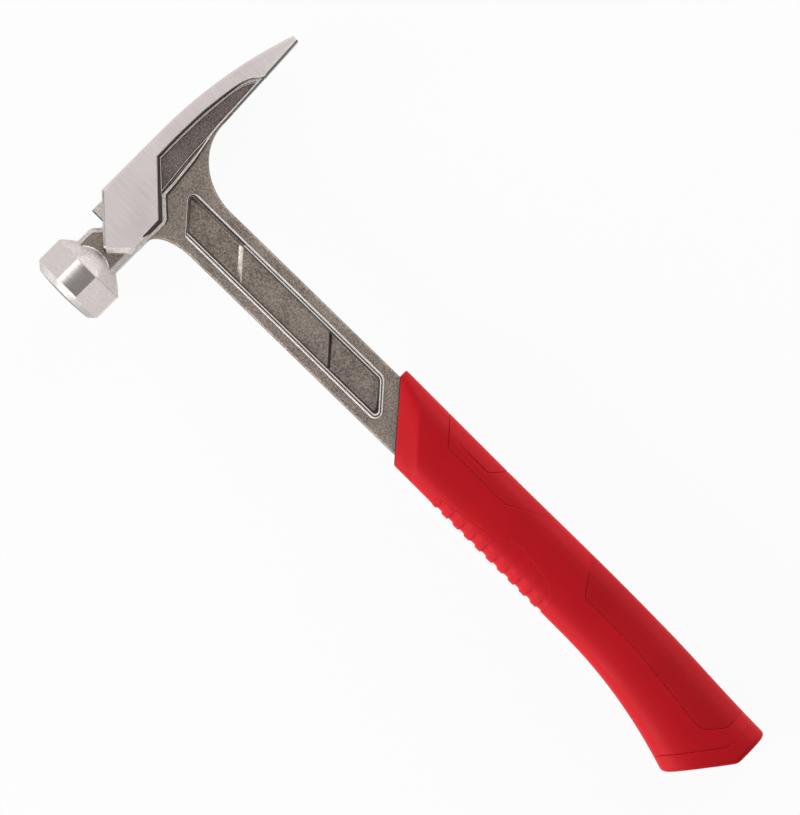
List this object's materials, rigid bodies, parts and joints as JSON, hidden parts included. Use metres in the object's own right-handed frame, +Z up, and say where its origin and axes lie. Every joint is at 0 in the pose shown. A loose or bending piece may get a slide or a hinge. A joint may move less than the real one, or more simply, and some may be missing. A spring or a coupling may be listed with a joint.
{
  "type": "framing hammer",
  "caption": "One-piece steel framing hammer with an octagonal bell, nail-starting groove, straight rip claw, panelled shank and a moulded grip with ribbed inlays.",
  "frame": {"origin": "centre of the bounding box in plan, on the surface that the hammer lies on", "axes": "+X along the handle from the head to the butt, +Y along the head from the striking face to the claw, +Z up out of the side of the hammer"},
  "size_m": [0.3802, 0.1544, 0.0368],
  "materials": {
    "forged_steel": "brushed and polished on the bell, cheeks and claw, as forged and grained elsewhere",
    "magnet": "nickel plated",
    "grip_core": "moulded",
    "grip_red": "moulded, satin",
    "grip_inlay": "moulded, fine matt texture"
  },
  "bodies": {
    "root": {"forged_body": "forged_steel", "nail_magnet": "magnet", "grip_core": "grip_core", "grip_sleeve": "grip_red", "finger_pad": "grip_inlay", "thumb_pad": "grip_inlay", "palm_pad": "grip_inlay", "butt_cap": "grip_red"}
  },
  "joints": []
}
